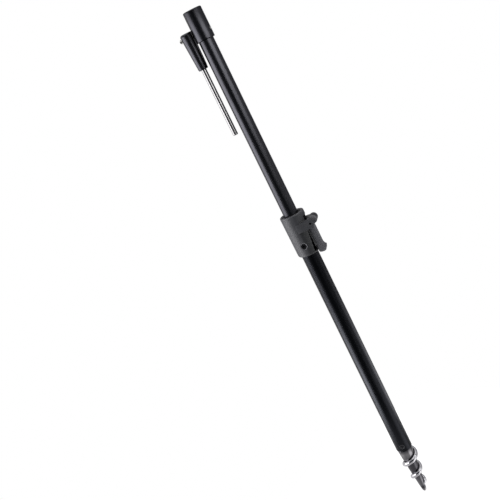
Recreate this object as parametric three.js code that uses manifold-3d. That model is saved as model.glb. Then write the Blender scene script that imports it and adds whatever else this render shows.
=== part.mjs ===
// A telescopic bank stick: a ground screw, an outer tube, a lever clamp, an inner tube, a head with
// a threaded socket, and a T-bar handle that hangs beside the head.
//
// Millimetres, +Z up the stick, origin at the tip of the ground screw on the tubes' axis.
// The clamp's lever is on the +X side, the T-bar on the -X side.
// The stick is drawn out to its full length.

import * as THREE from 'three';
import { mergeVertices } from 'three/addons/utils/BufferGeometryUtils.js';
import Module from 'manifold-3d';

const wasm = await Module();
wasm.setup();

// Fits
const fitGap = 0.3; // between pieces that are fixed to each other, or turn on each other
const tubeGap = 0.5; // between the inner tube and the outer tube's bore
const overrun = 3; // how far a cut runs past the surface that it opens
const edgeBreak = 0.5; // small chamfer on machined ends

// Heights along the stick
const exposedScrew = 64;
const visibleOuterTube = 262;
const clampHeight = 48;
const visibleInnerTube = 198;
const headLength = 32;
const headSeatDepth = 2; // how far the head enters the clamp's recess when the stick is closed

// Tubes
const outerTubeRadius = 9.5;
const outerTubeWall = 1;
const innerTubeWall = 1.1;
const headWall = 1.65;

// Ground screw
const screwShoulderStep = 0.5; // the screw's shoulder is smaller than the tube by this much
const screwTipRadius = 1.9;
const screwTipRound = 1.1;
const coreTaperPower = 0.8;
const shankLength = 13;
const flightRadius = 2.3;
const flightPitch = 19.4;
const flightTurns = 2.53;
const flightStartDrop = 5.8; // below the tube's end
const flightTopRise = 1.7; // height of the flight's centre over the core, at its top
const flightTipRise = 0.4;
const flightStartAngle = 1.9; // radians from +X
const flightFadeInShare = 0.05;
const flightFadeOutShare = 0.12;
const retainingPinRadius = 2;
const retainingPinSink = 0.3; // its ends lie below the tube's surface

// Clamp collar
const clampWall = 3.2;
const clampDraft = 0.4; // the collar is this much slimmer at its lower end
const clampLowerRound = 2.5;
const clampRimRound = 1.3;
const clampLeverSwell = 1.2; // the collar reaches this much further on the lever's side
const recessDepth = 2.6;
const recessGap = 0.85; // between the head and the recess that it enters
const pivotDrop = 16; // lever pivot below the collar's top
const pivotStandoff = 3.2; // lever pivot outside the collar's surface
const earHalfHeight = 5;
const earBase = 3.6; // the ears leave the collar this far towards the lever
const earBaseInset = 0.25; // and this far inside its full width
const earReach = 3; // past the pivot
const earWall = 2.4;
const earEndRound = 2;
const windowLowSlope = 1.17; // the window under the lever: its half width over its reach, at the foot
const windowHighSlope = 0.75; // and under the ears
const collarScrewRise = 12;
const collarScrewRadius = 2.7;
const collarScrewSink = 1.1;
const hexSocketRadius = 1.3;
const hexSocketDepth = 1;
const linerWall = 1.2;
const linerSplit = 1;

// Clamp lever
const leverHalfWidth = 5.8;
const leverSideGap = 0.4;
const leverPinRadius = 1;
const leverPinSink = 0.5;
const armInset = 4.1; // arm's inner face, from the pivot towards the stick
const armThickness = 6;
const camOffset = 0.4;
const camGap = 0.3;
const noseRadius = 4.6;
const noseOut = 3.9; // centre of the nose from the pivot
const noseUp = 2.1;
const slotGap = 0.7; // round the lever's head in the collar's slot
const tipOverhang = 3; // the lever's tip lies this far below the collar
const lipHeight = 9;
const lipFlare = 2.6;
const channelDepth = 1.7;
const channelRim = 2;
const padThickness = 2;
const padHalfWidth = 4.7;
const padHeight = 6.7;
const padAbovePivot = 2;

// Glide bush and end plug
const closedStopGap = 1; // between the plug's foot and the screw's shank when closed
const plugFootHeight = 2;
const plugFootRadius = 7.2;
const plugNeckRadius = 5;
const plugFlangeHeight = 2.5;
const plugStemHeight = 9;
const plugVentRadius = 2;
const bushLength = 8.4;
const bushRunGap = 0.3;

// Head
const insertLength = 17.7;
const socketRadius = 4.3;
const socketChamfer = 0.7;
const headTopRound = 1.2;

// T-bar
const pivotPinRadius = 1.5;
const pivotPinEdge = 5; // below the inner tube's upper end
const pinProtrusion = 2.6; // past the grip's outer side
const clipGrooveDepth = 0.4;
const clipThickness = 0.6;
const clipRim = 0.7; // how far the clip stands out over the pin
const clipEdge = 0.6; // pin end past the clip's groove
const bushWall = 0.65;
const gripShift = 3; // the clamp pushes the grip out by this much as the stick closes
const gripFlatGap = 0.55; // between the head and the grip's flat side
const gripFlatOffset = 5.2; // grip's axis from its flat side
const gripTopRadius = 7.3;
const gripEndRadius = 5.2;
const gripLength = 39.3;
const gripAbovePin = 5.5;
const gripTopRound = 2.4;
const gripEndRound = 1.2;
const rodRadius = 2.75;
const rodExposed = 73.2;
const rodEmbedded = 18;

// Facet counts
const tubeFacets = 36;
const smallFacets = 20;
const pinFacets = 16;
const flightSteps = 54;
const flightHalfSides = 4; // sides of half the flight's round section
const arcSteps = 3;
const coreSteps = 6;

// Places worked out from the sizes
const innerTubeRadius = outerTubeRadius - outerTubeWall - tubeGap;
const outerBore = outerTubeRadius - outerTubeWall;
const innerBore = innerTubeRadius - innerTubeWall;
const headBore = innerTubeRadius + fitGap;
const headRadius = headBore + headWall;

const clampBottom = exposedScrew + visibleOuterTube;
const clampTop = clampBottom + clampHeight;
const headBottom = clampTop + visibleInnerTube;
const stickTop = headBottom + headLength;
const travel = visibleInnerTube + headSeatDepth;

const shankTop = exposedScrew + shankLength;
const retainingPinHeight = (exposedScrew + shankTop) / 2;
const plugFoot = shankTop + closedStopGap + travel;
const bushBottom = plugFoot + plugFootHeight + bushRunGap;
const bushTop = bushBottom + bushLength;
const plugFlangeBottom = bushTop + bushRunGap;
const innerTubeBottom = plugFlangeBottom + plugFlangeHeight + fitGap;
const innerTubeTop = stickTop - insertLength - fitGap;

const clampBore = outerTubeRadius + fitGap;
const clampRadius = clampBore + clampWall;
const clampLowerRadius = clampRadius - clampDraft;
const recessFloor = clampTop - recessDepth;
const recessRadius = headRadius + recessGap;
const pivotX = clampRadius + pivotStandoff;
const pivotZ = clampTop - pivotDrop;
const padOuter = headBore + padThickness;
const camRadius = pivotX - padOuter - camGap - camOffset;
const noseReach = Math.hypot(noseOut, noseUp) + noseRadius;
const slotHalfWidth = leverHalfWidth + leverSideGap;
const slotBottom = pivotZ - camRadius - camOffset - slotGap;
const slotTop = pivotZ + noseReach + slotGap;
const outerTubeTop = slotBottom - clampWall / 2;
const linerOuter = headBore + linerWall;
const padTop = pivotZ + padAbovePivot;
const padBottom = padTop - padHeight;
const earBottom = pivotZ - earHalfHeight;
const earBaseHalfWidth = clampRadius - earBaseInset;
const earEndHalfWidth = slotHalfWidth + earWall;
const earEndX = pivotX + earReach;
const leverTip = clampBottom - tipOverhang;
const collarScrewZ = clampBottom + collarScrewRise;

const pinZ = innerTubeTop - pivotPinEdge;
const gripFlatX = headRadius + gripFlatGap;
const gripAxisX = gripFlatX + gripFlatOffset;
const gripTaper = (gripTopRadius - gripEndRadius) / gripLength;
const gripOuterX = gripAxisX + gripTopRadius - gripTaper * gripAbovePin;
const pinEndX = gripOuterX + pinProtrusion;
const clipGrooveOuterX = pinEndX - clipEdge;
const clipOuterX = clipGrooveOuterX - fitGap;
const clipInnerX = clipOuterX - clipThickness;
const clipGrooveInnerX = clipInnerX - fitGap;
const gripBushInner = pivotPinRadius + fitGap;
const gripBushOuter = gripBushInner + bushWall;
const gripBushStart = gripFlatX + fitGap;
const gripBushEnd = clipInnerX - gripShift - fitGap;

// Finishes
const blackAnodised = new THREE.MeshStandardMaterial({ color: 0x1b1b1f, roughness: 0.35, metalness: 0.7 });
const charcoalPlastic = new THREE.MeshStandardMaterial({ color: 0x3b3c40, roughness: 0.6, metalness: 0 });
const brightMetal = new THREE.MeshStandardMaterial({ color: 0xc9c8cc, roughness: 0.15, metalness: 1 });
const plainSteel = new THREE.MeshStandardMaterial({ color: 0x9a9a9c, roughness: 0.3, metalness: 1 });
const darkSteel = new THREE.MeshStandardMaterial({ color: 0x26262a, roughness: 0.45, metalness: 0.8 });
const paleNylon = new THREE.MeshStandardMaterial({ color: 0xc8c6bc, roughness: 0.55, metalness: 0 });

// Solids from geometry, and back

function toSolid(geometry) {
  const bare = geometry.clone();
  bare.deleteAttribute('normal');
  bare.deleteAttribute('uv');
  const merged = mergeVertices(bare);
  const position = merged.getAttribute('position');
  const index = merged.getIndex();
  const corners = [];
  for (let i = 0; i < index.count; i += 3) {
    const [a, b, c] = [index.getX(i), index.getX(i + 1), index.getX(i + 2)];
    if (a !== b && b !== c && c !== a) corners.push(a, b, c);
  }
  if (signedVolume(position, corners) < 0) corners.reverse();
  return new wasm.Manifold(
    new wasm.Mesh({
      numProp: 3,
      vertProperties: new Float32Array(position.array),
      triVerts: new Uint32Array(corners),
    }),
  );
}

function signedVolume(position, corners) {
  const [a, b, c] = [new THREE.Vector3(), new THREE.Vector3(), new THREE.Vector3()];
  let sum = 0;
  for (let i = 0; i < corners.length; i += 3) {
    a.fromBufferAttribute(position, corners[i]);
    b.fromBufferAttribute(position, corners[i + 1]);
    c.fromBufferAttribute(position, corners[i + 2]);
    sum += a.dot(b.cross(c));
  }
  return sum;
}

function toMesh(name, solid, material) {
  const result = solid.getMesh();
  const geometry = new THREE.BufferGeometry();
  geometry.setAttribute('position', new THREE.BufferAttribute(new Float32Array(result.vertProperties), 3));
  geometry.setIndex(new THREE.BufferAttribute(new Uint32Array(result.triVerts), 1));
  geometry.computeVertexNormals();
  const mesh = new THREE.Mesh(geometry, material);
  mesh.name = name;
  return mesh;
}

function placed(mesh, x, y, z) {
  mesh.position.set(x, y, z);
  return mesh;
}

// Building blocks

// A turned solid about the Z axis. Each point is [radius, height]; the outline closes on itself.
function turned(outline, facets) {
  const points = outline.map(([radius, height]) => new THREE.Vector2(radius, height));
  points.push(points[0].clone());
  const geometry = new THREE.LatheGeometry(points, facets);
  geometry.rotateX(Math.PI / 2);
  return toSolid(geometry);
}

function ring(inner, outer, low, high, facets) {
  return turned([[inner, low], [outer, low], [outer, high], [inner, high]], facets);
}

// A round bar along one axis between two places on it.
function bar(radius, from, to, axis, facets) {
  const geometry = new THREE.CylinderGeometry(radius, radius, to - from, facets);
  geometry.translate(0, (from + to) / 2, 0);
  if (axis === 'x') geometry.rotateZ(-Math.PI / 2);
  if (axis === 'z') geometry.rotateX(Math.PI / 2);
  return toSolid(geometry);
}

function block(x0, x1, y0, y1, z0, z1) {
  const geometry = new THREE.BoxGeometry(x1 - x0, y1 - y0, z1 - z0);
  geometry.translate((x0 + x1) / 2, (y0 + y1) / 2, (z0 + z1) / 2);
  return toSolid(geometry);
}

// The corner points of a quarter circle round [radius, height], from one angle to another.
function arc(radius, height, round, from, to) {
  const points = [];
  for (let i = 0; i <= arcSteps; i += 1) {
    const angle = from + ((to - from) * i) / arcSteps;
    points.push([radius + round * Math.cos(angle), height + round * Math.sin(angle)]);
  }
  return points;
}

// Ground screw

function coreRadius(height) {
  const share = Math.min(Math.max(height / exposedScrew, 0), 1);
  return screwTipRadius + (outerTubeRadius - screwShoulderStep - screwTipRadius) * share ** coreTaperPower;
}

// The centre line of the flight: a right-handed helix that follows the tapering core and sinks into
// it at both ends.
class FlightPath extends THREE.Curve {
  getPoint(share, target = new THREE.Vector3()) {
    const height = exposedScrew - flightStartDrop - flightPitch * flightTurns * share;
    const angle = flightStartAngle - 2 * Math.PI * flightTurns * share;
    const fadeIn = THREE.MathUtils.smoothstep(share, 0, flightFadeInShare);
    const fadeOut = THREE.MathUtils.smoothstep(1 - share, 0, flightFadeOutShare);
    const rise = flightTopRise + (flightTipRise - flightTopRise) * share;
    const sunk = coreRadius(height) - flightRadius - edgeBreak;
    const radius = sunk + (coreRadius(height) + rise - sunk) * fadeIn * fadeOut;
    return target.set(Math.max(radius, 0) * Math.cos(angle), Math.max(radius, 0) * Math.sin(angle), height);
  }
}

function groundScrew() {
  const shoulderZ = exposedScrew - fitGap;
  const shankRadius = outerBore - fitGap;
  const outline = [[0, 0]];
  outline.push(...arc(screwTipRadius - screwTipRound, screwTipRound, screwTipRound, -Math.PI / 2, 0));
  for (let i = 1; i <= coreSteps; i += 1) {
    const height = screwTipRound + ((shoulderZ - screwTipRound) * i) / coreSteps;
    outline.push([coreRadius(height), height]);
  }
  outline.push([shankRadius, shoulderZ], [shankRadius, shankTop - edgeBreak]);
  outline.push([shankRadius - edgeBreak, shankTop], [0, shankTop]);
  const core = turned(outline, tubeFacets);

  const section = new THREE.Shape();
  section.absarc(0, 0, flightRadius, 0, 2 * Math.PI, false);
  const flight = toSolid(
    new THREE.ExtrudeGeometry(section, {
      extrudePath: new FlightPath(),
      steps: flightSteps,
      curveSegments: flightHalfSides,
    }),
  );
  const pinHole = bar(retainingPinRadius + fitGap, -outerTubeRadius, outerTubeRadius, 'y', pinFacets);
  return core.add(flight).subtract(pinHole.translate([0, 0, retainingPinHeight]));
}

function retainingPin() {
  const reach = outerTubeRadius - retainingPinSink;
  return bar(retainingPinRadius, -reach, reach, 'y', pinFacets);
}

// Tubes

function outerTube() {
  const tube = ring(outerBore, outerTubeRadius, exposedScrew, outerTubeTop, tubeFacets);
  const reach = outerTubeRadius + overrun;
  const pinHole = bar(retainingPinRadius + fitGap, -reach, reach, 'y', pinFacets);
  return tube.subtract(pinHole.translate([0, 0, retainingPinHeight]));
}

function headPinHole() {
  const reach = headRadius + overrun;
  return bar(pivotPinRadius + fitGap, -reach, reach, 'x', pinFacets).translate([0, 0, pinZ]);
}

function innerTube() {
  return ring(innerBore, innerTubeRadius, innerTubeBottom, innerTubeTop, tubeFacets).subtract(headPinHole());
}

function tubeEndPlug() {
  const stem = innerBore - fitGap;
  const footTop = plugFoot + plugFootHeight;
  const flangeTop = plugFlangeBottom + plugFlangeHeight;
  const stemTop = flangeTop + plugStemHeight;
  return turned(
    [
      [plugVentRadius, plugFoot],
      [plugFootRadius - edgeBreak, plugFoot],
      [plugFootRadius, plugFoot + edgeBreak],
      [plugFootRadius, footTop],
      [plugNeckRadius, footTop],
      [plugNeckRadius, plugFlangeBottom],
      [innerTubeRadius, plugFlangeBottom],
      [innerTubeRadius, flangeTop],
      [stem, flangeTop],
      [stem, stemTop - edgeBreak],
      [stem - edgeBreak, stemTop],
      [plugVentRadius, stemTop],
    ],
    tubeFacets,
  );
}

function glideBush() {
  return ring(plugNeckRadius + fitGap, outerBore - bushRunGap, bushBottom, bushTop, tubeFacets);
}

// Head

function headSleeve() {
  const sleeve = turned(
    [
      [headBore, headBottom],
      [headRadius - edgeBreak, headBottom],
      [headRadius, headBottom + edgeBreak],
      ...arc(headRadius - headTopRound, stickTop - headTopRound, headTopRound, 0, Math.PI / 2),
      [headBore, stickTop],
    ],
    tubeFacets,
  );
  return sleeve.subtract(headPinHole());
}

function threadInsert() {
  const bottom = stickTop - insertLength;
  const outer = headBore - fitGap;
  return turned(
    [
      [socketRadius, bottom],
      [outer, bottom],
      [outer, stickTop],
      [socketRadius + socketChamfer, stickTop],
      [socketRadius, stickTop - socketChamfer],
    ],
    tubeFacets,
  );
}

// Clamp

// The collar's barrel, drawn out towards the lever.
function clampBody() {
  const round = clampLowerRound;
  const barrel = turned(
    [
      [0, clampBottom],
      ...arc(clampLowerRadius - round, clampBottom + round, round, -Math.PI / 2, 0),
      ...arc(clampRadius - clampRimRound, clampTop - clampRimRound, clampRimRound, 0, Math.PI / 2),
      [0, clampTop],
    ],
    tubeFacets,
  );
  return barrel.add(barrel.translate([clampLeverSwell, 0, 0])).hull();
}

// The room inside the collar: its bore and the recess at its top, both with broken edges.
function clampRoom() {
  const low = clampBottom - overrun;
  const high = clampTop + overrun;
  return turned(
    [
      [0, low],
      [clampBore + edgeBreak, low],
      [clampBore + edgeBreak, clampBottom],
      [clampBore, clampBottom + edgeBreak],
      [clampBore, recessFloor],
      [recessRadius, recessFloor],
      [recessRadius, clampTop - edgeBreak],
      [recessRadius + edgeBreak, clampTop],
      [recessRadius + edgeBreak, high],
      [0, high],
    ],
    tubeFacets,
  );
}

// Both ears in one block, wide where they leave the collar and narrower at the pivot.
function earBlock() {
  const plan = new THREE.Shape();
  plan.moveTo(earBase, -earBaseHalfWidth);
  plan.lineTo(earEndX, -earEndHalfWidth);
  plan.lineTo(earEndX, earEndHalfWidth);
  plan.lineTo(earBase, earBaseHalfWidth);
  const height = 2 * earHalfHeight;
  const plate = toSolid(new THREE.ExtrudeGeometry(plan, { depth: height, bevelEnabled: false }));

  const side = new THREE.Shape();
  side.moveTo(0, -earHalfHeight);
  side.lineTo(earEndX - earEndRound, -earHalfHeight);
  side.absarc(earEndX - earEndRound, earEndRound - earHalfHeight, earEndRound, -Math.PI / 2, 0, false);
  side.absarc(earEndX - earEndRound, earHalfHeight - earEndRound, earEndRound, 0, Math.PI / 2, false);
  side.lineTo(0, earHalfHeight);
  const profile = new THREE.ExtrudeGeometry(side, {
    depth: 2 * (clampRadius + overrun),
    bevelEnabled: false,
    curveSegments: arcSteps,
  });
  profile.rotateX(Math.PI / 2);
  profile.translate(0, clampRadius + overrun, pivotZ);
  return plate.translate([0, 0, earBottom]).intersect(toSolid(profile));
}

// The window under the lever, a wedge from the stick's axis that is wider at the collar's foot.
function leverWindow(farX) {
  const low = clampBottom - overrun;
  const lowReach = windowLowSlope * farX;
  const highReach = windowHighSlope * farX;
  return wasm.Manifold.hull([
    [0, 0, low],
    [farX, -lowReach, low],
    [farX, lowReach, low],
    [0, 0, earBottom],
    [farX, -highReach, earBottom],
    [farX, highReach, earBottom],
  ]);
}

function clampCollar() {
  const farX = earEndX + overrun;
  const wide = clampRadius + overrun;
  const screwHole = bar(collarScrewRadius + fitGap, -wide, wide, 'y', smallFacets);
  const pinHole = bar(leverPinRadius + fitGap, -wide, wide, 'y', pinFacets);
  return clampBody()
    .subtract(leverWindow(farX))
    .add(earBlock())
    .subtract(clampRoom())
    .subtract(block(0, farX, -slotHalfWidth, slotHalfWidth, slotBottom, slotTop))
    .subtract(screwHole.translate([0, 0, collarScrewZ]))
    .subtract(pinHole.translate([pivotX, 0, pivotZ]));
}

function clampLiner() {
  const low = outerTubeTop + fitGap;
  const high = recessFloor - fitGap;
  const padWindow = padHalfWidth + fitGap;
  return ring(headBore, linerOuter, low, high, tubeFacets)
    .subtract(block(0, clampRadius, -padWindow, padWindow, padBottom - fitGap, padTop + fitGap))
    .subtract(block(-clampRadius, 0, -linerSplit / 2, linerSplit / 2, low - overrun, high + overrun));
}

// A flat shoe between the cam and the inner tube, hollowed to the tube.
function pressurePad() {
  const tube = bar(headBore, padBottom - overrun, padTop + overrun, 'z', tubeFacets);
  return block(0, padOuter, -padHalfWidth, padHalfWidth, padBottom, padTop).subtract(tube);
}

function leverPin() {
  const slope = (earBaseHalfWidth - earEndHalfWidth) / (earEndX - earBase);
  const reach = earEndHalfWidth + slope * earReach - leverPinSink;
  return bar(leverPinRadius, -reach, reach, 'y', pinFacets);
}

// A short hexagon-socket screw along Y, its tip just clear of the outer tube.
function collarScrew(side) {
  const lowerShare = collarScrewRise / clampHeight;
  const surface = clampLowerRadius + clampDraft * lowerShare;
  const outer = surface - collarScrewSink;
  const body = bar(collarScrewRadius, clampBore, outer, 'y', smallFacets);
  const socket = bar(hexSocketRadius, outer - hexSocketDepth, outer + overrun, 'y', 6);
  const screw = body.subtract(socket);
  return side < 0 ? screw.rotate([0, 0, 180]) : screw;
}

// The lever's outline in the XZ plane, with the pivot at the origin: cam, nose, arm and flared tip.
function leverOutline() {
  const inner = -armInset;
  const outer = armThickness - armInset;
  const tip = leverTip - pivotZ;
  const camAngle = Math.acos(Math.min((armInset - camOffset) / camRadius, 1));
  const outline = new THREE.Shape();
  outline.moveTo(inner, tip + lipFlare);
  outline.absarc(-camOffset, 0, camRadius, Math.PI + camAngle, Math.PI / 2, true);
  outline.absarc(noseOut, noseUp, noseRadius, (Math.PI * 7) / 12, -Math.PI / 2, true);
  outline.lineTo(outer, -camRadius);
  outline.lineTo(outer, tip + lipHeight);
  outline.quadraticCurveTo(outer + lipFlare / 4, tip + lipHeight / 2, outer + lipFlare, tip + lipHeight / 2);
  outline.lineTo(outer + lipFlare / 2, tip + lipFlare / 3);
  outline.quadraticCurveTo(outer, tip, outer - armThickness / 3, tip);
  outline.quadraticCurveTo(inner, tip, inner, tip + lipFlare);
  return outline;
}

function clampLever() {
  const geometry = new THREE.ExtrudeGeometry(leverOutline(), {
    depth: 2 * leverHalfWidth,
    bevelEnabled: false,
    curveSegments: 12,
  });
  geometry.rotateX(Math.PI / 2);
  geometry.translate(0, leverHalfWidth, 0);
  const wide = leverHalfWidth + overrun;
  const inside = leverHalfWidth - channelRim;
  const low = leverTip - pivotZ + lipHeight;
  const channel = block(-armInset - overrun, channelDepth - armInset, -inside, inside, low, -camRadius);
  return toSolid(geometry)
    .subtract(bar(leverPinRadius + fitGap, -wide, wide, 'y', pinFacets))
    .subtract(channel);
}

// T-bar. Its pieces are built at the pin, with the stick's axis as X zero.

function pivotPin() {
  const shaft = bar(pivotPinRadius, -pinEndX, headRadius, 'x', pinFacets);
  const groove = ring(
    pivotPinRadius - clipGrooveDepth,
    pivotPinRadius + overrun,
    clipGrooveInnerX,
    clipGrooveOuterX,
    pinFacets,
  );
  return shaft.subtract(groove.rotate([0, -90, 0]));
}

function pinClip() {
  const inner = pivotPinRadius - clipGrooveDepth + fitGap;
  const outer = pivotPinRadius + clipRim;
  return ring(inner, outer, clipInnerX, clipOuterX, pinFacets).rotate([0, -90, 0]);
}

function gripBush() {
  return ring(gripBushInner, gripBushOuter, gripBushStart, gripBushEnd, pinFacets).rotate([0, -90, 0]);
}

function tBarGrip() {
  const top = gripAbovePin;
  const end = gripAbovePin - gripLength;
  const body = turned(
    [
      [0, end],
      ...arc(gripEndRadius - gripEndRound, end + gripEndRound, gripEndRound, -Math.PI / 2, 0),
      ...arc(gripTopRadius - gripTopRound, top - gripTopRound, gripTopRound, 0, Math.PI / 2),
      [0, top],
    ],
    tubeFacets,
  ).translate([-gripAxisX, 0, 0]);
  const wide = gripTopRadius + overrun;
  const rodHole = bar(rodRadius + fitGap, end - overrun, end + rodEmbedded + fitGap, 'z', smallFacets);
  const bushHole = bar(gripBushOuter + fitGap, -gripOuterX - overrun, 0, 'x', pinFacets);
  return body
    .subtract(block(-gripFlatX, 0, -wide, wide, end - overrun, top + overrun))
    .subtract(rodHole.translate([-gripAxisX, 0, 0]))
    .subtract(bushHole);
}

function tBarRod() {
  const end = gripAbovePin - gripLength;
  const low = end - rodExposed;
  const high = end + rodEmbedded;
  return turned(
    [
      [0, low],
      [rodRadius - edgeBreak, low],
      [rodRadius, low + edgeBreak],
      [rodRadius, high],
      [0, high],
    ],
    smallFacets,
  );
}

// Assembly

const lowerSection = new THREE.Group();
lowerSection.add(
  toMesh('ground_screw', groundScrew(), brightMetal),
  placed(toMesh('screw_retaining_pin', retainingPin(), darkSteel), 0, 0, retainingPinHeight),
  toMesh('outer_tube', outerTube(), blackAnodised),
  toMesh('clamp_collar', clampCollar(), charcoalPlastic),
  toMesh('clamp_liner', clampLiner(), charcoalPlastic),
  toMesh('pressure_pad', pressurePad(), paleNylon),
  placed(toMesh('lever_pivot_pin', leverPin(), darkSteel), pivotX, 0, pivotZ),
  placed(toMesh('collar_screw_front', collarScrew(-1), darkSteel), 0, 0, collarScrewZ),
  placed(toMesh('collar_screw_back', collarScrew(1), darkSteel), 0, 0, collarScrewZ),
);

const leverGroup = new THREE.Group();
leverGroup.position.set(pivotX, 0, pivotZ);
leverGroup.add(toMesh('clamp_lever', clampLever(), charcoalPlastic));
lowerSection.add(leverGroup);

const upperSection = new THREE.Group();
upperSection.add(
  toMesh('glide_bush', glideBush(), paleNylon),
  toMesh('tube_end_plug', tubeEndPlug(), charcoalPlastic),
  toMesh('inner_tube', innerTube(), blackAnodised),
  toMesh('head_sleeve', headSleeve(), blackAnodised),
  toMesh('thread_insert', threadInsert(), plainSteel),
);

const tBar = new THREE.Group();
tBar.position.set(0, 0, pinZ);
tBar.add(
  toMesh('tbar_pivot_pin', pivotPin(), plainSteel),
  toMesh('tbar_pin_clip', pinClip(), plainSteel),
  toMesh('tbar_bush', gripBush(), paleNylon),
  toMesh('tbar_grip', tBarGrip(), blackAnodised),
  placed(toMesh('tbar_rod', tBarRod(), brightMetal), -gripAxisX, 0, 0),
);
upperSection.add(tBar);

const bankStick = new THREE.Group();
bankStick.add(lowerSection, upperSection);

export default bankStick;
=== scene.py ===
# %% [markdown]
# # A telescopic bank stick
#
# A bank stick holds a fishing rod at the water's edge. A ground screw goes into the bank, an inner
# tube slides in an outer tube, a lever clamp locks the two, and a T-bar beside the head gives a
# grip for screwing the stick in. The machinist's model of it is already packed as a fixed frame,
# one solid for each part. This notebook gives that frame its looks. Everything is in metres, +Z
# runs up the stick, and the tip of the screw is at the origin.

# %% Load the frame
import math

import bmesh
import bpy
from mathutils import Matrix, Vector


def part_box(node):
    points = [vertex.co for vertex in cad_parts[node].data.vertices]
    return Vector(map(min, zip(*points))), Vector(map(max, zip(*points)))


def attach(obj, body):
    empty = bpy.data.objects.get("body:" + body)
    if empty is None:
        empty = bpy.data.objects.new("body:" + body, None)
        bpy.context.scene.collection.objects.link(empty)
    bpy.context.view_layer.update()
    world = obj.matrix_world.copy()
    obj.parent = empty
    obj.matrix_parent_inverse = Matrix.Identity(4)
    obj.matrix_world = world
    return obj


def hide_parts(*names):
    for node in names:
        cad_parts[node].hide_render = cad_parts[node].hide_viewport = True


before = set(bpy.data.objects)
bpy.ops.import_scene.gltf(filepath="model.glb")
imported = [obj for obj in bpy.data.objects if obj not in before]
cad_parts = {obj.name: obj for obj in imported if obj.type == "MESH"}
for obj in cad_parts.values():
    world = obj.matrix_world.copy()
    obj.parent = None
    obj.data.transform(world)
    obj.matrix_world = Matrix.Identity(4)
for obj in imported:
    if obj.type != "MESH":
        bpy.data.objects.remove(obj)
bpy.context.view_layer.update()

print("nodes:", len(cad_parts))

# %% [markdown]
# Lengths are written in millimetres, as on a workshop drawing, and turned into metres by one named
# factor. The heights and radii that the frame already holds are read from its boxes, so a new
# piece always lands on the solid that it dresses.

# %% Sizes read from the frame
mm = 0.001
x_axis, y_axis, z_axis = Vector((1, 0, 0)), Vector((0, 1, 0)), Vector((0, 0, 1))
right_angle = math.pi / 2


def low(node, axis):
    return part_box(node)[0][axis]


def high(node, axis):
    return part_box(node)[1][axis]


def ends(node, axis):
    return low(node, axis), high(node, axis)


def halfway(node, axis):
    return sum(ends(node, axis)) / 2


def compass(azimuth, distance, height):
    """A point round the stick: azimuth 0 is in front of it, and a right angle is the lever's side."""
    return Vector((math.sin(azimuth) * distance, -math.cos(azimuth) * distance, height))


stick_top = high("head_sleeve", 2)
screw_top = low("outer_tube", 2)
tube_radius = high("outer_tube", 1)
slider_radius = high("inner_tube", 1)
head_radius = high("head_sleeve", 1)
print(f"stick {stick_top / mm:.0f} mm, tubes {2 * tube_radius / mm:.0f} and {2 * slider_radius / mm:.0f} mm")

# %% [markdown]
# The camera comes first, because every later choice is judged through it. The stick is seen from
# 13 degrees to the lever's side and from a little above. The top of the stick is nearer to the
# lens than its foot, so the tubes look thinner further down. The picture is also tilted, so that
# the stick leans from the upper left to the lower right. A camera could be aimed by eye, but here
# it stands where the widths and places of the tubes agree with the picture, and its turn is built
# from three plain angles: which way it faces, how far it looks down, and how far it is tilted.

# %% Camera
picture_side = 500
film_width = 36
focal_pixels = 749.6
eye_azimuth = math.radians(13)
eye_distance = 778.6 * mm
eye_height = 554.8 * mm
eye_turn = math.radians(4.13)
eye_look_down = math.radians(14.18)
eye_tilt = math.radians(-26.96)

camera_data = bpy.data.cameras.new("view_camera")
camera_data.sensor_width = film_width
camera_data.lens = focal_pixels / picture_side * film_width
camera = bpy.data.objects.new("view_camera", camera_data)
bpy.context.scene.collection.objects.link(camera)
eye = compass(eye_azimuth, eye_distance, eye_height)
camera.matrix_world = (
    Matrix.Translation(eye)
    @ Matrix.Rotation(eye_azimuth + eye_turn, 4, "Z")
    @ Matrix.Rotation(right_angle - eye_look_down, 4, "X")
    @ Matrix.Rotation(eye_tilt, 4, "Z")
)
bpy.context.scene.camera = camera
print(f"lens {camera_data.lens:.1f} mm, eye {[round(v, 3) for v in eye]}")

# %% [markdown]
# Small helpers for nodes keep the materials readable. Each finish is a Principled shader whose
# colour, roughness and bump come from noise in the object's own coordinates, so the pattern stays
# on the metal when a joint moves, and nothing needs an image file. Some stretches of a piece have
# a shade of their own, such as a rubbed rim. There a share between 0 and 1 is worked out from the
# place on the piece, and a fixed colour is laid over the finish by that share.

# %% Node helpers
def set_inputs(node, settings):
    for socket, value in settings.items():
        node.inputs[socket.replace("_", " ")].default_value = value


def new_finish(name, **settings):
    material = bpy.data.materials.new(name)
    material.use_nodes = True
    shader = material.node_tree.nodes["Principled BSDF"]
    set_inputs(shader, settings)
    return material, material.node_tree, shader


def add_node(tree, kind, operation=None, **settings):
    """Adds a node; an underscore in a setting stands for the space in a socket's name."""
    node = tree.nodes.new("ShaderNode" + kind)
    if operation:
        node.operation = operation
    set_inputs(node, settings)
    return node


def join_up(source, socket):
    """Links two sockets. Each knows the tree of nodes that it belongs to."""
    source.id_data.links.new(source, socket)


def object_place(tree):
    return add_node(tree, "TexCoord").outputs["Object"]


def pattern(tree, stretch, detail=None):
    """Noise on object coordinates, stretched by a scale along each axis, or cells without a detail."""
    mapping = add_node(tree, "Mapping", Scale=stretch)
    join_up(object_place(tree), mapping.inputs["Vector"])
    kind, output = ("TexNoise", "Fac") if detail else ("TexVoronoi", "Distance")
    texture = add_node(tree, kind, Scale=1.0)
    if detail:
        texture.inputs["Detail"].default_value = detail
    join_up(mapping.outputs["Vector"], texture.inputs["Vector"])
    return texture.outputs[output]


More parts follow.
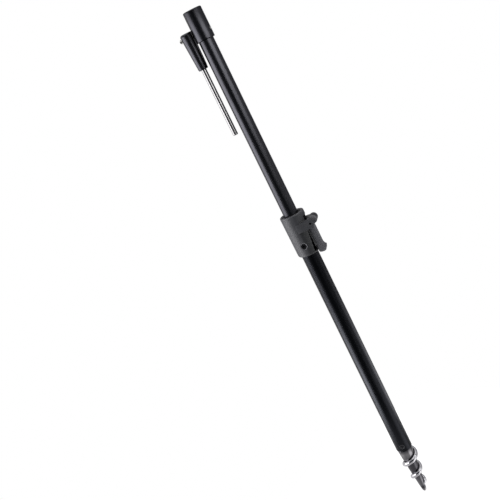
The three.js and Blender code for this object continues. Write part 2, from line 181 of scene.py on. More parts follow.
def between(source, low_value, high_value, start=0.3, end=0.7):
    """Goes from one value to another while the source goes from start to end, and not past them."""
    span = add_node(
        source.id_data, "MapRange", From_Min=start, From_Max=end, To_Min=low_value, To_Max=high_value
    )
    join_up(source, span.inputs["Value"])
    return span.outputs["Result"]


def above(source, start, end):
    """A share that is 0 up to start and 1 from end on."""
    return between(source, 0.0, 1.0, start, end)


def below(source, start, end):
    """A share that is 1 up to start and 0 from end on."""
    return between(source, 1.0, 0.0, start, end)


def shades(source, dark, light, start=0.35, end=0.65):
    """Turns a pattern's value into a colour between two shades."""
    ramp = add_node(source.id_data, "ValToRGB")
    for stop, place, colour in zip(ramp.color_ramp.elements, (start, end), (dark, light)):
        stop.position = place
        stop.color = (*colour, 1)
    join_up(source, ramp.inputs["Fac"])
    return ramp.outputs["Color"]


def relief(source, shader, depth, strength, under=None):
    """Raises the surface by a pattern, on top of an earlier relief if there is one."""
    bump = add_node(source.id_data, "Bump", Strength=strength, Distance=depth)
    join_up(source, bump.inputs["Height"])
    if under:
        join_up(under.outputs["Normal"], bump.inputs["Normal"])
    join_up(bump.outputs["Normal"], shader.inputs["Normal"])
    return bump


def node_math(operation, *sources):
    node = add_node(sources[0].id_data, "Math", operation)
    for source, socket in zip(sources, node.inputs):
        join_up(source, socket)
    return node.outputs[0]


def vector_math(operation, source, other=None):
    """Works on a vector and, where one is given, a fixed second vector."""
    node = add_node(source.id_data, "VectorMath", operation)
    join_up(source, node.inputs[0])
    if other:
        node.inputs[1].default_value = other
    return node.outputs["Value" if operation in ("LENGTH", "DOT_PRODUCT") else "Vector"]


def place_parts(tree):
    """The object's own X, Y and Z."""
    parts = add_node(tree, "SeparateXYZ")
    join_up(object_place(tree), parts.inputs["Vector"])
    return parts.outputs


def distance_from(tree, centre, ways):
    """Distance from a centre, counted only along the axes whose way is 1."""
    centred = vector_math("SUBTRACT", object_place(tree), centre)
    return vector_math("LENGTH", vector_math("MULTIPLY", centred, ways))


def mixed_colour(share, colour, other):
    """Mixes a fixed colour into another one by a share between 0 and 1."""
    mix = add_node(share.id_data, "Mix")
    mix.data_type = "RGBA"
    sockets = {socket.identifier: socket for socket in mix.inputs}
    sockets["B_Color"].default_value = (*other, 1)
    join_up(share, sockets["Factor_Float"])
    join_up(colour, sockets["A_Color"])
    return next(socket for socket in mix.outputs if socket.identifier == "Result_Color")


def repaint(colour, share, *others):
    """Lays a fixed colour over a finish, where all the shares hold together."""
    for other in others:
        share = node_math("MULTIPLY", share, other)
    base = share.id_data.nodes["Principled BSDF"].inputs["Base Color"]
    join_up(mixed_colour(share, base.links[0].from_socket, colour), base)


def coat(shader, cloud, dark, light, marks, smooth, rough):
    """A clouded colour and a roughness that follows the marks of the making."""
    join_up(shades(cloud, dark, light), shader.inputs["Base Color"])
    join_up(between(marks, smooth, rough), shader.inputs["Roughness"])


print("node helpers ready")

# %% [markdown]
# Black anodised aluminium covers both tubes, the head and the grip. The tube is drawn through a
# die and then dyed, so it is satin, nearly black, a touch blue, and has very fine lines that run
# along it. Paint would be smoother and more even. The lines come from noise that is stretched
# hundreds of times along Z, and a cloudy noise lets the dye vary a little. The inner tube, the
# head and the grip are greyer and glossier than the outer tube. Each has its own copy of the
# finish, because the head and the grip get a stretch of painted shade later.

# %% Black anodised finish
def anodised_finish(name, dark, light, smooth, rough):
    finish, tree, shader = new_finish(name, Metallic=1.0)
    drawn = pattern(tree, (2600, 2600, 18), detail=2)
    cloud = pattern(tree, (60, 60, 22), detail=3)
    grain = pattern(tree, (7000, 7000, 7000), detail=1)
    coat(shader, cloud, dark, light, drawn, smooth, rough)
    lines = relief(drawn, shader, 0.004 * mm, 0.25)
    relief(grain, shader, 0.006 * mm, 0.25, under=lines)
    return finish


black_tube = anodised_finish("satin_black_tube", (0.022, 0.023, 0.027), (0.030, 0.031, 0.036), 0.28, 0.38)
glossy_black, grip_black, head_black = [
    anodised_finish(name, (0.055, 0.055, 0.062), (0.068, 0.068, 0.076), 0.27, 0.35)
    for name in ("glossy_black_tube", "grip_black_tube", "head_black")
]
print("finishes:", black_tube.name, glossy_black.name, grip_black.name, head_black.name)

# %% [markdown]
# The clamp is moulded in a charcoal plastic with a fine spark-eroded texture, which scatters the
# light evenly. Two grains of different size are laid over each other, so that it doesn't look
# like film grain, and the colour drifts slightly, as in a mould's thick and thin places. The lever
# is a paler moulding than the collar.

# %% Charcoal plastic
def plastic_finish(name, dark, light, smooth, rough):
    finish, tree, shader = new_finish(name, Metallic=0.0, Specular_IOR_Level=0.8)
    cloud = pattern(tree, (110, 110, 110), detail=3)
    coarse = pattern(tree, (2300, 2300, 2300))
    fine = pattern(tree, (5200, 5200, 5200), detail=2)
    coat(shader, cloud, dark, light, fine, smooth, rough)
    spark = relief(coarse, shader, 0.02 * mm, 0.35)
    relief(fine, shader, 0.012 * mm, 0.35, under=spark)
    return finish


# The collar has its own copy of the moulding, which later gets painted shades and highlights.
charcoal, collar_charcoal = [
    plastic_finish(name, (0.042, 0.043, 0.050), (0.055, 0.056, 0.064), 0.48, 0.6)
    for name in ("charcoal_moulding", "collar_moulding")
]
lever_charcoal = plastic_finish("lever_moulding", (0.115, 0.116, 0.128), (0.14, 0.141, 0.155), 0.45, 0.58)
pale_nylon = plastic_finish("natural_nylon", (0.52, 0.50, 0.44), (0.62, 0.60, 0.54), 0.4, 0.55)
print("finishes:", charcoal.name, collar_charcoal.name, lever_charcoal.name, pale_nylon.name)

# %% [markdown]
# The metal parts carry no paint. The T-bar's rod is drawn and polished, the screw is cast and
# plated bright, the threaded insert and the T-bar's pin are plainly turned, and the small pins and
# screws further down are blackened. All four finishes share one recipe: full metal, a roughness
# that wanders a little, and a relief whose direction tells how the part was made.

# %% Bare metals
def metal_finish(name, dark, light, smooth, rough, stretch, depth):
    finish, tree, shader = new_finish(name, Metallic=1.0)
    marks = pattern(tree, stretch, detail=3)
    cloud = pattern(tree, (140, 140, 90), detail=2)
    coat(shader, cloud, dark, light, marks, smooth, rough)
    relief(marks, shader, depth, 0.3)
    return finish


polished_rod = metal_finish(
    "polished_rod", (0.29, 0.287, 0.287), (0.35, 0.346, 0.346), 0.2, 0.28, (3000, 3000, 25), 0.002 * mm
)
plated_screw = metal_finish(
    "bright_plated_screw", (0.36, 0.352, 0.368), (0.50, 0.488, 0.50), 0.14, 0.24, (260, 260, 260), 0.05 * mm
)
turned_steel = metal_finish(
    "turned_steel", (0.62, 0.61, 0.59), (0.74, 0.73, 0.70), 0.2, 0.34, (40, 40, 4200), 0.006 * mm
)
dark_steel = metal_finish(
    "blackened_steel", (0.03, 0.03, 0.034), (0.05, 0.05, 0.055), 0.32, 0.48, (900, 900, 900), 0.01 * mm
)
print("finishes:", polished_rod.name, plated_screw.name, turned_steel.name, dark_steel.name)

# %% [markdown]
# Most parts of a stick are turned on a lathe, and Blender's spin is the same idea: one outline
# goes once round an axis. A cylinder with extra cuts would also do, but an outline holds every
# shoulder and chamfer in the order in which a turner would cut them. The outline starts as a
# plane that is merged to one point. The point is extruded from corner to corner, and then spun.

# %% Outline and spin
round_steps = 96
small_round_steps = 48
same_place = 0.001 * mm
spin_ways = {"X": (x_axis, z_axis), "Y": (y_axis, x_axis), "Z": (z_axis, x_axis)}


def clear_selection():
    if bpy.context.object and bpy.context.object.mode != "OBJECT":
        bpy.ops.object.mode_set(mode="OBJECT")
    bpy.ops.object.select_all(action="DESELECT")


def select_only(piece):
    clear_selection()
    piece.select_set(True)
    bpy.context.view_layer.objects.active = piece


def name_piece(name):
    piece = bpy.context.object
    piece.name = piece.data.name = name
    bpy.ops.object.transform_apply(location=True, rotation=True, scale=True)
    return piece


def edit_all():
    """Opens the active piece in edit mode, with all of it selected."""
    bpy.ops.object.mode_set(mode="EDIT")
    bpy.ops.mesh.select_all(action="SELECT")


def face_outwards():
    """Turns all faces outwards and leaves edit mode."""
    bpy.ops.mesh.select_all(action="SELECT")
    bpy.ops.mesh.normals_make_consistent(inside=False)
    bpy.ops.object.mode_set(mode="OBJECT")


def trace_outline(name, corners):
    """Extrudes one point along the corners, and leaves the outline selected in edit mode."""
    clear_selection()
    bpy.ops.mesh.primitive_plane_add(size=mm, location=corners[0])
    piece = name_piece(name)
    bpy.ops.object.mode_set(mode="EDIT")
    bpy.ops.mesh.select_mode(type="VERT")
    bpy.ops.mesh.select_all(action="SELECT")
    bpy.ops.mesh.merge(type="CENTER")
    for start, end in zip(corners, corners[1:]):
        bpy.ops.mesh.extrude_vertices_move(TRANSFORM_OT_translate={"value": Vector(end) - Vector(start)})
    bpy.ops.mesh.select_all(action="SELECT")
    bpy.ops.mesh.remove_doubles(threshold=same_place)
    return piece


def turn(name, outline, axis="Z", centre=(0, 0, 0), steps=None):
    """Spins an outline of (radius, place along the axis) once round the axis."""
    middle = Vector(centre)
    along, out = spin_ways[axis]
    steps = steps or (round_steps if axis == "Z" else small_round_steps)
    piece = trace_outline(name, [middle + out * radius + along * place for radius, place in outline])
    bpy.ops.mesh.spin(steps=steps, angle=2 * math.pi, center=middle, axis=along)
    bpy.ops.mesh.select_all(action="SELECT")
    bpy.ops.mesh.remove_doubles(threshold=same_place)
    face_outwards()
    return piece


def chamfered(radius, start, end, edge):
    """The side of a round bar with a chamfer at both ends."""
    return [(radius - edge, start), (radius, start + edge), (radius, end - edge), (radius - edge, end)]


def turn_bar(name, radius, start, end, edge, **way):
    return turn(name, [(0, start), *chamfered(radius, start, end, edge), (0, end)], **way)


def arc(across, along, radius, start, end, steps=6):
    """Points of an arc round a centre, from one angle to another."""
    angles = [math.radians(start + (end - start) * i / steps) for i in range(steps + 1)]
    return [(across + radius * math.cos(a), along + radius * math.sin(a)) for a in angles]


def lower_corner(radius, end, rounding):
    """The rounded corner where an outline of a given radius has its lower end."""
    return arc(radius - rounding, end + rounding, rounding, -90, 0)


def upper_corner(radius, end, rounding):
    return arc(radius - rounding, end - rounding, rounding, 0, 90)


print(f"outlines go round in {round_steps} or {small_round_steps} steps")

# %% [markdown]
# Modifiers finish a piece: a bevel breaks its sharp edges, a boolean cuts or joins it. Each one
# is applied at once, so that the piece ends as plain mesh. The last helper hands the piece over:
# it gets its finish, smooth shading with sharp edges kept and the body that it rides on, and the
# CAD solid that it stands for is hidden.

# %% Modifiers and hand-over
def apply_modifier(piece, kind, **settings):
    select_only(piece)
    bpy.ops.object.modifier_add(type=kind)
    modifier = piece.modifiers[-1]
    for setting, value in settings.items():
        setattr(modifier, setting, value)
    bpy.ops.object.modifier_apply(modifier=modifier.name)


def break_edges(piece, width, segments, sharper_than):
    apply_modifier(
        piece, "BEVEL", width=width, segments=segments, limit_method="ANGLE",
        angle_limit=math.radians(sharper_than), use_clamp_overlap=True,
    )


def combine(piece, tool, operation):
    apply_modifier(piece, "BOOLEAN", operation=operation, solver="EXACT", object=tool)
    bpy.data.objects.remove(tool, do_unlink=True)


def cut(piece, tool):
    combine(piece, tool, "DIFFERENCE")


def join(piece, tool):
    combine(piece, tool, "UNION")


def hand_over(piece, body, slot, finish, *nodes, crease=32):
    select_only(piece)
    bpy.ops.object.shade_smooth_by_angle(angle=math.radians(crease))
    piece.data.materials.clear()
    piece.data.materials.append(finish)
    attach(piece, body)
    if nodes:
        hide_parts(*nodes)
    print(f"{piece.name}: {len(piece.data.polygons)} faces, on {body}")


print("modifier helpers ready")

# %% [markdown]
# The outer tube is a length of 19 mm aluminium tube with a wall of 1 mm. It could be a cylinder
# with a hole, but the outline gives the wall and both chamfered ends in one go. A round hole goes
# through it near the foot, for the pin that keeps the screw in. The drill is a turned piece with
# flared ends, so that the hole comes out with its countersink. Round the hole a lighter grey rim
# is laid over the finish by a share of the distance from the pin's axis.

# %% Outer tube
tube_wall = 1 * mm
tube_edge = 0.35 * mm
clearance = 0.15 * mm
run_out = 2 * mm


def turn_tube(name, radius, wall, start, end):
    inside = radius - wall
    return turn(name, [
        (inside, start + tube_edge), (inside + tube_edge, start),
        *chamfered(radius, start, end, tube_edge),
        (inside + tube_edge, end), (inside, end - tube_edge), (inside, start + tube_edge),
    ])


def drill(name, axis, centre, radius, surface, flare, reach):
    """A bar with flared ends: it drills through and countersinks where it leaves the surface."""
    flared = radius + reach - surface + flare
    outline = [(0, -reach), (flared, -reach), (radius, flare - surface)]
    outline += [(radius, surface - flare), (flared, reach), (0, reach)]
    return turn(name, outline, axis, centre)


outer_tube = turn_tube("outer_tube_black", tube_radius, tube_wall, *ends("outer_tube", 2))
pin_place = (0, 0, halfway("screw_retaining_pin", 2))
pin_hole = high("screw_retaining_pin", 0) + clearance
pin_flare = 0.25 * mm
cut(outer_tube, drill("pin_drill", "Y", pin_place, pin_hole, tube_radius, pin_flare, tube_radius + run_out))

pin_ring_grey = (0.14, 0.14, 0.15)
from_pin = distance_from(black_tube.node_tree, pin_place, (1, 0, 1))
# A lighter grey ring is laid round the pin hole.
repaint(pin_ring_grey, below(from_pin, pin_hole + 0.45 * mm, pin_hole + 0.65 * mm))
hand_over(outer_tube, "lower", "black_anodised", black_tube, "outer_tube")

# %% [markdown]
# The inner tube is 16 mm across and slides in the outer one. Its outline is the same as the outer
# tube's, so the same helper makes it. Only its middle shows: the foot runs in the outer tube, and
# the head covers its top.

# %% Inner tube
slider_wall = 1.1 * mm
inner_tube = turn_tube("inner_tube_black", slider_radius, slider_wall, *ends("inner_tube", 2))
hand_over(inner_tube, "upper", "black_anodised", glossy_black, "inner_tube")

# %% [markdown]
# The head is a short, wider sleeve at the top. Its ends are rounded over. The T-bar's pin goes
# through it, so it is drilled along X, right through both sides. The rounded lower edge shows as a
# black line over the tube, so a painted shade darkens the finish there.

# %% Head sleeve
head_bottom = low("head_sleeve", 2)
head_bore = slider_radius + 0.3 * mm
sleeve_outline = [(head_bore, head_bottom + tube_edge), (head_bore + tube_edge, head_bottom)]
sleeve_outline += lower_corner(head_radius, head_bottom, rounding=0.8 * mm)
sleeve_outline += upper_corner(head_radius, stick_top, rounding=1.2 * mm)
sleeve_outline += [(head_bore + tube_edge, stick_top), (head_bore, stick_top - tube_edge)]
sleeve_outline += sleeve_outline[:1]
head_sleeve = turn("head_sleeve_black", sleeve_outline)

tbar_pin_place = (0, 0, halfway("tbar_pivot_pin", 2))
tbar_pin_radius = high("tbar_pivot_pin", 1)
cut(head_sleeve, drill(
    "sleeve_drill", "X", tbar_pin_place, tbar_pin_radius + clearance,
    surface=head_radius, flare=0.2 * mm, reach=head_radius + run_out,
))

painted_shade_black = (0.008, 0.008, 0.009)
head_height = place_parts(head_black.node_tree)["Z"]
# Painted shade: the rounded lower edge is darkened to a black line over the tube.
repaint(painted_shade_black, below(head_height, head_bottom + 0.6 * mm, head_bottom + 0.9 * mm))
hand_over(head_sleeve, "upper", "black_anodised", head_black, "head_sleeve")

# %% [markdown]
# A steel insert sits in the head and takes the thread of a rod rest. Its body is turned. The
# thread is a small ridge that winds up the bore. Modelling it as one long spring is simple: a
# three-sided circle is the ridge's section, and the Screw modifier carries it round and up.

# %% Threaded insert
insert_bottom = low("thread_insert", 2)
insert_radius = high("thread_insert", 1)
thread_root = 4.8 * mm
thread_crest = 4.3 * mm
thread_pitch = 1.27 * mm
thread_steps = 36
mouth = 0.9 * mm
insert_edge = 0.3 * mm
insert_outline = [
    (thread_root, insert_bottom), *chamfered(insert_radius, insert_bottom, stick_top, insert_edge),
    (thread_root + mouth, stick_top), (thread_root, stick_top - mouth), (thread_root, insert_bottom),
]
thread_insert = turn("thread_insert_steel", insert_outline)

ridge_sink = 0.1 * mm
ridge_radius = (thread_root - thread_crest) / 1.5 + ridge_sink
ridge_place = (thread_crest + ridge_radius, 0, insert_bottom + mouth)
thread_turns = int((stick_top - insert_bottom - 2 * mouth) / thread_pitch)
clear_selection()
bpy.ops.mesh.primitive_circle_add(
    vertices=3, radius=ridge_radius, rotation=(right_angle, 0, 0), location=ridge_place
)
thread = name_piece("insert_thread")
bpy.ops.object.mode_set(mode="EDIT")
bpy.ops.transform.rotate(value=right_angle, orient_axis="Y", center_override=ridge_place)
apply_modifier(
    thread, "SCREW", angle=2 * math.pi, screw_offset=thread_pitch, iterations=thread_turns,
    steps=thread_steps, render_steps=thread_steps, axis="Z",
    use_merge_vertices=True, merge_threshold=same_place,
)
edit_all()
bpy.ops.mesh.fill_holes(sides=3)
face_outwards()
hand_over(thread_insert, "upper", "plain_steel", turned_steel, "thread_insert")
hand_over(thread, "upper", "plain_steel", turned_steel, crease=60)

# %% [markdown]
# The T-bar hangs on a steel pin that crosses the head. Its outer end carries a groove with a
# spring clip, which keeps the grip on. Both are turned round the X axis. The pin's outline steps
# in and out again at the groove, and its ends are chamfered.

# %% T-bar pin and clip
pin_outer, pin_inner = ends("tbar_pivot_pin", 0)
clip_outer, clip_inner = ends("tbar_pin_clip", 0)
clip_radius = high("tbar_pin_clip", 1)
groove_gap = 0.15 * mm
groove_radius = tbar_pin_radius - 0.4 * mm
pin_edge = 0.25 * mm
groove_start, groove_end = clip_outer - groove_gap, clip_inner + groove_gap
pin_side = chamfered(tbar_pin_radius, pin_outer, pin_inner, pin_edge)
pin_outline = [
    (0, pin_outer), *pin_side[:2], (tbar_pin_radius, groove_start), (groove_radius, groove_start),
    (groove_radius, groove_end), (tbar_pin_radius, groove_end), *pin_side[2:], (0, pin_inner),
]
tbar_pin = turn("tbar_pin_steel", pin_outline, "X", tbar_pin_place)
hand_over(tbar_pin, "upper", "plain_steel", turned_steel, "tbar_pivot_pin")

clip_edge = 0.12 * mm
clip_bore = groove_radius + groove_gap
clip_outline = [
    (clip_bore, clip_outer), *chamfered(clip_radius, clip_outer, clip_inner, clip_edge),
    (clip_bore, clip_inner), (clip_bore, clip_outer),
]
tbar_clip = turn("tbar_clip_steel", clip_outline, "X", tbar_pin_place)
hand_over(tbar_clip, "upper", "plain_steel", turned_steel, "tbar_pin_clip")

# %% [markdown]
# The grip is a tapered black handle, rounded at the top and flat on the side that lies against
# the stick. It is turned as a full cone with rounded ends, and then bisected by a plane, which is
# how the flat would be milled. Two holes follow: one across for the pin and its bush, and one up
# from the end for the rod. A small bevel breaks the edges of the flat. The side towards the stick
# is darker than the front, so a painted shade darkens the finish there.

# %% Grip
grip_end, grip_top = ends("tbar_grip", 2)
grip_flat = high("tbar_grip", 0)
grip_top_radius, grip_end_radius = high("tbar_grip", 1), 5.2 * mm
grip_axis = halfway("tbar_rod", 0)
rod_radius = high("tbar_rod", 1)
rod_end, rod_top = ends("tbar_rod", 2)
grip_outline = [(0, grip_end)]
grip_outline += lower_corner(grip_end_radius, grip_end, rounding=1.2 * mm)
grip_outline += upper_corner(grip_top_radius, grip_top, rounding=2.4 * mm)
grip_outline += [(0, grip_top)]
grip = turn("tbar_grip_black", grip_outline, centre=(grip_axis, 0, 0))

select_only(grip)
edit_all()
bpy.ops.mesh.bisect(plane_co=(grip_flat, 0, 0), plane_no=(1, 0, 0), use_fill=True, clear_outer=True)
bpy.ops.object.mode_set(mode="OBJECT")
break_edges(grip, 0.2 * mm, segments=3, sharper_than=35)

bush_hole = high("tbar_bush", 1) + clearance
bush_start = grip_axis - grip_top_radius - run_out
bush_outline = [(0, bush_start), (bush_hole, bush_start), (bush_hole, 0), (0, 0)]
cut(grip, turn("bush_drill", bush_outline, "X", tbar_pin_place))
rod_hole = rod_radius + clearance
rod_drill_outline = [
    (0, grip_end - run_out), (rod_radius + run_out, grip_end - run_out),
    (rod_radius + 0.3 * mm, grip_end + 0.2 * mm), (rod_hole, grip_end + 0.5 * mm),
    (rod_hole, rod_top + clearance), (0, rod_top + clearance),
]
cut(grip, turn("rod_drill", rod_drill_outline, centre=(grip_axis, 0, 0), steps=small_round_steps))

grip_depth = place_parts(grip_black.node_tree)["X"]
# Painted shade: the side towards the stick is darkened.
repaint(painted_shade_black, above(grip_depth, grip_flat - 2.6 * mm, grip_flat - 1.7 * mm))
hand_over(grip, "tbar", "black_anodised", grip_black, "tbar_grip")

# %% [markdown]
# The T-bar's rod is a polished steel bar. Turning it round its own axis keeps the chamfer at its
# free end, which catches the light.

# %% Rod
rod_edge = 0.5 * mm
rod_way = {"centre": (grip_axis, 0, 0), "steps": 64}
rod = turn_bar("tbar_rod_polished", rod_radius, rod_end, rod_top, rod_edge, **rod_way)
hand_over(rod, "tbar", "bright_metal", polished_rod, "tbar_rod")

# %% [markdown]
# The clamp's collar is one moulding: a barrel with a wide recess on top, two ears that carry the
# lever, a window under the lever that ends in a thin ring at the foot, and a countersunk hole on
# each side. It is built from solids that are joined and cut, in the order in which a mould maker
# would think of them. The barrel is turned, and its half on the lever's side is moved out a little.
# The window is a wedge that narrows towards the ears. The ears are a block whose free end is
# narrowed and rounded.

# %% Collar barrel and ears
collar_bottom, collar_top = ends("clamp_collar", 2)
collar_radius = high("clamp_collar", 1)
collar_reach = high("clamp_collar", 0)
collar_lower_radius = collar_radius - 0.4 * mm
collar_bore = tube_radius + 0.3 * mm
lever_swell = 1.2 * mm
pivot_height = halfway("lever_pivot_pin", 2)
pivot_x = halfway("lever_pivot_pin", 0)
ear_half_height = 5 * mm
ear_bottom, ear_top = pivot_height - ear_half_height, pivot_height + ear_half_height

barrel_outline = [(0, collar_bottom)]
barrel_outline += lower_corner(collar_lower_radius, collar_bottom, rounding=2.5 * mm)
barrel_outline += upper_corner(collar_radius, collar_top, rounding=1.3 * mm)
barrel_outline += [(0, collar_top)]
collar = turn("clamp_collar_charcoal", barrel_outline)
edit_all()
bpy.ops.mesh.bisect(plane_co=(0, 0, 0), plane_no=(1, 0, 0))
bpy.ops.mesh.select_all(action="DESELECT")
swollen = bmesh.from_edit_mesh(collar.data)
for corner in swollen.verts:
    corner.select_set(corner.co.x > 0.01 * mm)
bmesh.update_edit_mesh(collar.data)
bpy.ops.transform.translate(value=(lever_swell, 0, 0))
bpy.ops.object.mode_set(mode="OBJECT")


def slab(name, corners, way):
    """Fills an outline and extrudes it, and leaves the far end selected in edit mode."""
    piece = trace_outline(name, corners + corners[:1])
    bpy.ops.mesh.edge_face_add()
    bpy.ops.mesh.extrude_region_move(TRANSFORM_OT_translate={"value": way})
    return piece


def add_block(name, lowest, highest):
    clear_selection()
    middle = (Vector(lowest) + Vector(highest)) / 2
    bpy.ops.mesh.primitive_cube_add(size=1, location=middle, scale=Vector(highest) - Vector(lowest))
    return name_piece(name)


def select_edges(piece, wanted):
    """Selects the edges whose middle and direction pass the test, and stays in edit mode."""
    bpy.ops.object.mode_set(mode="EDIT")
    bpy.ops.mesh.select_mode(type="EDGE")
    bpy.ops.mesh.select_all(action="DESELECT")
    mesh = bmesh.from_edit_mesh(piece.data)
    for edge in mesh.edges:
        first, last = [vertex.co for vertex in edge.verts]
        if wanted((first + last) / 2, (last - first).normalized()):
            edge.select_set(True)
    bmesh.update_edit_mesh(piece.data)


def at_free_end(middle, way):
    return middle.x > collar_reach - 0.1 * mm


def across_free_end(middle, way):
    return at_free_end(middle, way) and abs(way.y) > 0.9


far = 30 * mm
foot_ring_height, foot_ring_wall = 1.8 * mm, 1 * mm
foot_ring_top = collar_bottom + foot_ring_height
window_low_slope, window_high_slope = 1.17, 0.75
window_side = window_low_slope * far
window = slab(
    "window_cutter",
    [(0, 0, foot_ring_top), (far, -window_side, foot_ring_top), (far, window_side, foot_ring_top)],
    (0, 0, ear_bottom - foot_ring_top),
)
window_narrowing = window_high_slope / window_low_slope
bpy.ops.transform.resize(value=(1, window_narrowing, 1), center_override=(0, 0, ear_bottom))
face_outwards()
cut(collar, window)
cut(collar, add_block(
    "ring_cutter", (collar_bore + foot_ring_wall, -far, collar_bottom - far), (far, far, foot_ring_top)
))

ear_base_half_width = collar_radius - 0.25 * mm
ear_end_half_width = 8.6 * mm
ear_narrowing = ear_end_half_width / ear_base_half_width
ears = add_block(
    "ears", (3.6 * mm, -ear_base_half_width, ear_bottom), (collar_reach, ear_base_half_width, ear_top)
)
select_edges(ears, at_free_end)
bpy.ops.transform.resize(value=(1, ear_narrowing, 1), center_override=(collar_reach, 0, pivot_height))
select_edges(ears, across_free_end)
bpy.ops.mesh.bevel(offset=2.4 * mm, segments=8, affect="EDGES")
bpy.ops.object.mode_set(mode="OBJECT")
join(collar, ears)
print("collar with ears:", len(collar.data.polygons), "faces")

# %% [markdown]
# The bore and the recess are one turned cutter. The slot for the lever, the holes for the pivot
# and the side screws follow. Each side hole has a countersunk mouth, which shows as a light ring
# round the dark hole.

# %% Collar bore, slot and holes
recess_radius = head_radius + 0.85 * mm
recess_floor = collar_top - 2.6 * mm
side_hole_place = (0, 0, halfway("collar_screw_front", 2))
side_hole_radius = high("collar_screw_front", 0) + 0.3 * mm
rim_break = 1.1 * mm
bore_edge = 0.5 * mm
bore_outline = [
    (0, collar_bottom - far), (collar_bore + bore_edge, collar_bottom - far),
    (collar_bore + bore_edge, collar_bottom), (collar_bore, collar_bottom + bore_edge),
    (collar_bore, recess_floor), (recess_radius, recess_floor),
    (recess_radius, collar_top - rim_break), (recess_radius + rim_break, collar_top),
    (recess_radius + rim_break, far + collar_top), (0, far + collar_top),
]
cut(collar, turn("bore_cutter", bore_outline))

slot_half_width = high("clamp_lever", 1) + 0.4 * mm
slot_bottom, slot_top = pivot_height - 6.3 * mm, pivot_height + 9.7 * mm
cut(collar, add_block("slot_cutter", (0, -slot_half_width, slot_bottom), (far, slot_half_width, slot_top)))
cut(collar, drill("side_drill", "Y", side_hole_place, side_hole_radius, collar_lower_radius, 0.7 * mm, far))

pivot_place = (pivot_x, 0, pivot_height)
pivot_hole = high("lever_pivot_pin", 2) - pivot_height + 0.25 * mm


def drill_for_pivot(piece):
    outline = [(0, -far), (pivot_hole, -far), (pivot_hole, far), (0, far)]
    cut(piece, turn("pivot_drill", outline, "Y", pivot_place))


drill_for_pivot(collar)
print("collar before remesh:", len(collar.data.polygons), "faces")

# %% [markdown]
# Sharp edges would look machined, so the whole moulding is remeshed into fine, even cells and
# relaxed. That rounds every edge and corner a little, inside and out, as a mould does.

# %% Collar relaxed
def relax_moulding(piece, cell, repeats):
    apply_modifier(piece, "REMESH", mode="VOXEL", voxel_size=cell, use_smooth_shade=True)
    apply_modifier(piece, "SMOOTH", factor=0.5, iterations=repeats)
    print(f"{piece.name}: {len(piece.data.polygons)} relaxed faces")


relax_moulding(collar, 0.34 * mm, repeats=7)

# %% [markdown]
# A small dark moulding is read by its few shades, and lamps alone don't give them all, so they are
# painted. The face under the lever gets a painted shade, darker than the barrel, with near-black
# painted shadow lines under the ears and in the gap above them. The mouth of each side hole and the
# top rim get a painted highlight, the hole a painted shade, and the recess painted light on the side
# away from the lever. Each shade is laid over the finish by shares of the place: along X, up Z, and
# by the distance from the hole's axis and from the stick's.

# %% Painted shades and highlights of the collar
shaded_grey = (0.02, 0.021, 0.024)
painted_shadow_black = (0.004, 0.004, 0.005)
mouth_highlight_grey = (0.16, 0.16, 0.18)
hole_shade_black = (0.01, 0.01, 0.012)
rim_highlight_grey = (0.11, 0.11, 0.12)
recess_lit_grey = (0.30, 0.30, 0.32)
collar_tree = collar_charcoal.node_tree
collar_x, _, collar_z = place_parts(collar_tree)
lever_side = above(collar_x, 0.0, 3 * mm)
below_ears = below(collar_z, ear_bottom - 0.4 * mm, ear_bottom)
# Painted shade on the face under the lever, below the ears.
repaint(shaded_grey, lever_side, below_ears)
# Near-black painted shadow lines under the ears and in the gap above them.
ear_corner = above(collar_z, ear_bottom - 2.2 * mm, ear_bottom - 0.6 * mm)
repaint(painted_shadow_black, lever_side, ear_corner, below_ears)
above_ears = above(collar_z, ear_top, ear_top + 0.3 * mm)
below_rim = below(collar_z, ear_top + 1.2 * mm, ear_top + 2.2 * mm)
far_lever_side = above(collar_x, 5 * mm, 8 * mm)
repaint(painted_shadow_black, far_lever_side, above_ears, below_rim)

from_hole = distance_from(collar_tree, side_hole_place, (1, 0, 1))
mouth_start, mouth_end = side_hole_radius + 0.75 * mm, side_hole_radius + 0.95 * mm
# A painted highlight round the mouth of each side hole, and painted shade inside the hole.
repaint(mouth_highlight_grey, below(from_hole, mouth_start, mouth_end))
repaint(hole_shade_black, below(from_hole, side_hole_radius, side_hole_radius + 0.2 * mm))

# A painted highlight on the top rim, and painted light in the recess away from the lever.
repaint(rim_highlight_grey, above(collar_z, collar_top - 1.5 * mm, collar_top - 0.8 * mm))
from_axis = distance_from(collar_tree, (0, 0, 0), (1, 1, 0))
inside_rim = below(from_axis, recess_radius + 0.4 * mm, recess_radius + 0.8 * mm)
over_floor = above(collar_z, recess_floor - 0.6 * mm, recess_floor - 0.3 * mm)
away_side = below(collar_x, 0.0, 5 * mm)
repaint(recess_lit_grey, inside_rim, over_floor, away_side)
hand_over(collar, "lower", "charcoal_plastic", collar_charcoal, "clamp_collar", crease=60)

# %% [markdown]
# The outer faces of the ears stand a little proud of the barrel, with crisp edges. The relaxing
# would melt such a low step away, so the two faces are their own thin plates. One is traced from
# above, extruded up, rounded at its free end and mirrored to the other side.

